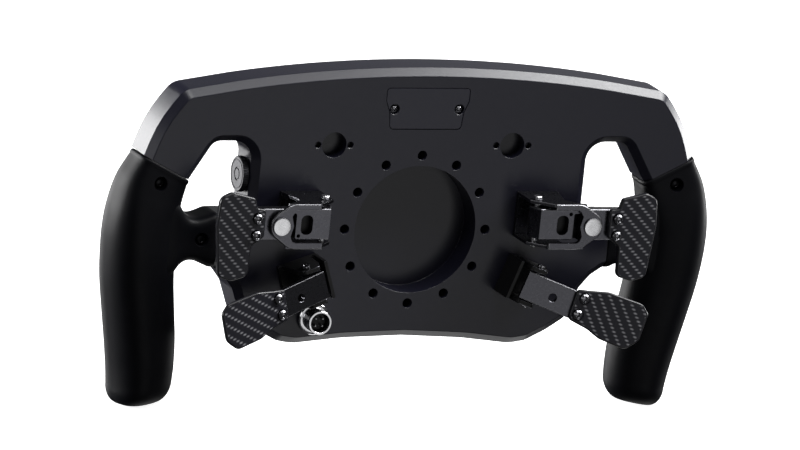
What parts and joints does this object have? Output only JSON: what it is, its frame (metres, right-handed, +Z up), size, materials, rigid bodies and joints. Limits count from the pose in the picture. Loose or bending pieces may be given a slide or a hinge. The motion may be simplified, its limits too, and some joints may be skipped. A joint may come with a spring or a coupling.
{
  "type": "racing wheel",
  "caption": "Open-bottomed formula racing wheel for a simulator, with rubber grips, magnetic shift paddles, clutch paddles, push buttons and rotary knobs.",
  "frame": {"origin": "centre of the hub seat, the floor of the round recess in the back of the wheel", "axes": "+Y out of the back of the wheel towards the wheel base, +Z up, +X to the driver's right"},
  "size_m": [0.299, 0.0738, 0.1617],
  "materials": {
    "shell_black": "satin black anodised",
    "carbon_fibre": "twill carbon-fibre sheet with satin resin",
    "grip_rubber": "smooth satin moulded rubber",
    "anodised_metal": "black anodised, with bright worn edges",
    "screw_steel": "bright steel socket screws",
    "magnet_nickel": "satin nickel plate",
    "chrome": "bright chrome plate",
    "black_plastic": "matt moulded plastic",
    "circuit_board": "green solder mask"
  },
  "bodies": {
    "wheel_body": {"rear_housing": "shell_black", "front_plate": "carbon_fibre", "circuit_board": "circuit_board", "hatch_cover": "shell_black", "connector_shell": "chrome", "connector_insert": "black_plastic", "hatch_screw_right": "screw_steel", "grip_right": "grip_rubber", "grip_screw_upper_right": "screw_steel", "grip_screw_spoke_right": "screw_steel", "shifter_bracket_right": "anodised_metal", "shifter_pin_right": "magnet_nickel", "shifter_magnet_right": "magnet_nickel", "clutch_bracket_right": "anodised_metal", "clutch_pin_right": "screw_steel", "clutch_spring_right": "screw_steel", "plate_screw_right_1": "screw_steel", "plate_screw_right_2": "screw_steel", "hatch_screw_left": "screw_steel", "grip_left": "grip_rubber", "grip_screw_upper_left": "screw_steel", "grip_screw_spoke_left": "screw_steel", "shifter_bracket_left": "anodised_metal", "shifter_pin_left": "magnet_nickel", "shifter_magnet_left": "magnet_nickel", "clutch_bracket_left": "anodised_metal", "clutch_pin_left": "screw_steel", "clutch_spring_left": "screw_steel", "plate_screw_left_1": "screw_steel", "plate_screw_left_2": "screw_steel"},
    "shifter_right": {"shifter_arm_right": "anodised_metal", "shifter_paddle_right": "carbon_fibre", "shifter_screw_right_1": "screw_steel", "shifter_screw_right_2": "screw_steel"},
    "clutch_right": {"clutch_arm_right": "anodised_metal", "clutch_paddle_right": "carbon_fibre", "clutch_screw_right_1": "screw_steel", "clutch_screw_right_2": "screw_steel"},
    "button_right_1": {"button_right_1": "black_plastic"},
    "button_right_2": {"button_right_2": "black_plastic"},
    "button_right_3": {"button_right_3": "black_plastic"},
    "button_right_4": {"button_right_4": "black_plastic"},
    "shifter_left": {"shifter_arm_left": "anodised_metal", "shifter_paddle_left": "carbon_fibre", "shifter_screw_left_1": "screw_steel", "shifter_screw_left_2": "screw_steel"},
    "clutch_left": {"clutch_arm_left": "anodised_metal", "clutch_paddle_left": "carbon_fibre", "clutch_screw_left_1": "screw_steel", "clutch_screw_left_2": "screw_steel"},
    "button_left_1": {"button_left_1": "black_plastic"},
    "button_left_2": {"button_left_2": "black_plastic"},
    "button_left_3": {"button_left_3": "black_plastic"},
    "button_left_4": {"button_left_4": "black_plastic"},
    "rotary_knob_1": {"rotary_knob_1": "anodised_metal"},
    "rotary_knob_2": {"rotary_knob_2": "anodised_metal"},
    "rotary_knob_3": {"rotary_knob_3": "anodised_metal"},
    "thumb_knob": {"thumb_knob": "anodised_metal"}
  },
  "joints": [
    {"name": "shifter_right_pull", "type": "hinge", "parent": "wheel_body", "child": "shifter_right", "pos_m": [0.0529, 0.0296, 0.0079], "axis": [0, 0, -1], "range_deg": [0, 6], "stiffness_Nm_per_rad": 0.6, "springref_deg": -5.73},
    {"name": "clutch_right_pull", "type": "hinge", "parent": "wheel_body", "child": "clutch_right", "pos_m": [0.05535, 0.02851, -0.02325], "axis": [-0.3355, 0, -0.9421], "range_deg": [0, 18], "stiffness_Nm_per_rad": 0.5, "springref_deg": -14.32},
    {"name": "button_right_1_press", "type": "slide", "parent": "wheel_body", "child": "button_right_1", "axis": [0, 1, 0], "range_m": [0, 0.0015], "stiffness_N_per_m": 300, "springref_m": -0.002},
    {"name": "button_right_2_press", "type": "slide", "parent": "wheel_body", "child": "button_right_2", "axis": [0, 1, 0], "range_m": [0, 0.0015], "stiffness_N_per_m": 300, "springref_m": -0.002},
    {"name": "button_right_3_press", "type": "slide", "parent": "wheel_body", "child": "button_right_3", "axis": [0, 1, 0], "range_m": [0, 0.0015], "stiffness_N_per_m": 300, "springref_m": -0.002},
    {"name": "button_right_4_press", "type": "slide", "parent": "wheel_body", "child": "button_right_4", "axis": [0, 1, 0], "range_m": [0, 0.0015], "stiffness_N_per_m": 300, "springref_m": -0.002},
    {"name": "shifter_left_pull", "type": "hinge", "parent": "wheel_body", "child": "shifter_left", "pos_m": [-0.0529, 0.0296, 0.0079], "axis": [0, 0, 1], "range_deg": [0, 6], "stiffness_Nm_per_rad": 0.6, "springref_deg": -5.73},
    {"name": "clutch_left_pull", "type": "hinge", "parent": "wheel_body", "child": "clutch_left", "pos_m": [-0.05535, 0.02851, -0.02325], "axis": [-0.3355, 0, 0.9421], "range_deg": [0, 18], "stiffness_Nm_per_rad": 0.5, "springref_deg": -14.32},
    {"name": "button_left_1_press", "type": "slide", "parent": "wheel_body", "child": "button_left_1", "axis": [0, 1, 0], "range_m": [0, 0.0015], "stiffness_N_per_m": 300, "springref_m": -0.002},
    {"name": "button_left_2_press", "type": "slide", "parent": "wheel_body", "child": "button_left_2", "axis": [0, 1, 0], "range_m": [0, 0.0015], "stiffness_N_per_m": 300, "springref_m": -0.002},
    {"name": "button_left_3_press", "type": "slide", "parent": "wheel_body", "child": "button_left_3", "axis": [0, 1, 0], "range_m": [0, 0.0015], "stiffness_N_per_m": 300, "springref_m": -0.002},
    {"name": "button_left_4_press", "type": "slide", "parent": "wheel_body", "child": "button_left_4", "axis": [0, 1, 0], "range_m": [0, 0.0015], "stiffness_N_per_m": 300, "springref_m": -0.002},
    {"name": "rotary_knob_1_turn", "type": "hinge", "parent": "wheel_body", "child": "rotary_knob_1", "pos_m": [-0.03, -0.0113, -0.036], "axis": [0, 1, 0], "continuous": true},
    {"name": "rotary_knob_2_turn", "type": "hinge", "parent": "wheel_body", "child": "rotary_knob_2", "pos_m": [0, -0.0113, -0.04], "axis": [0, 1, 0], "continuous": true},
    {"name": "rotary_knob_3_turn", "type": "hinge", "parent": "wheel_body", "child": "rotary_knob_3", "pos_m": [0.03, -0.0113, -0.036], "axis": [0, 1, 0], "continuous": true},
    {"name": "thumb_knob_turn", "type": "hinge", "parent": "wheel_body", "child": "thumb_knob", "pos_m": [0.0838, 0.0034, 0.0235], "axis": [1, 0, 0], "continuous": true}
  ]
}
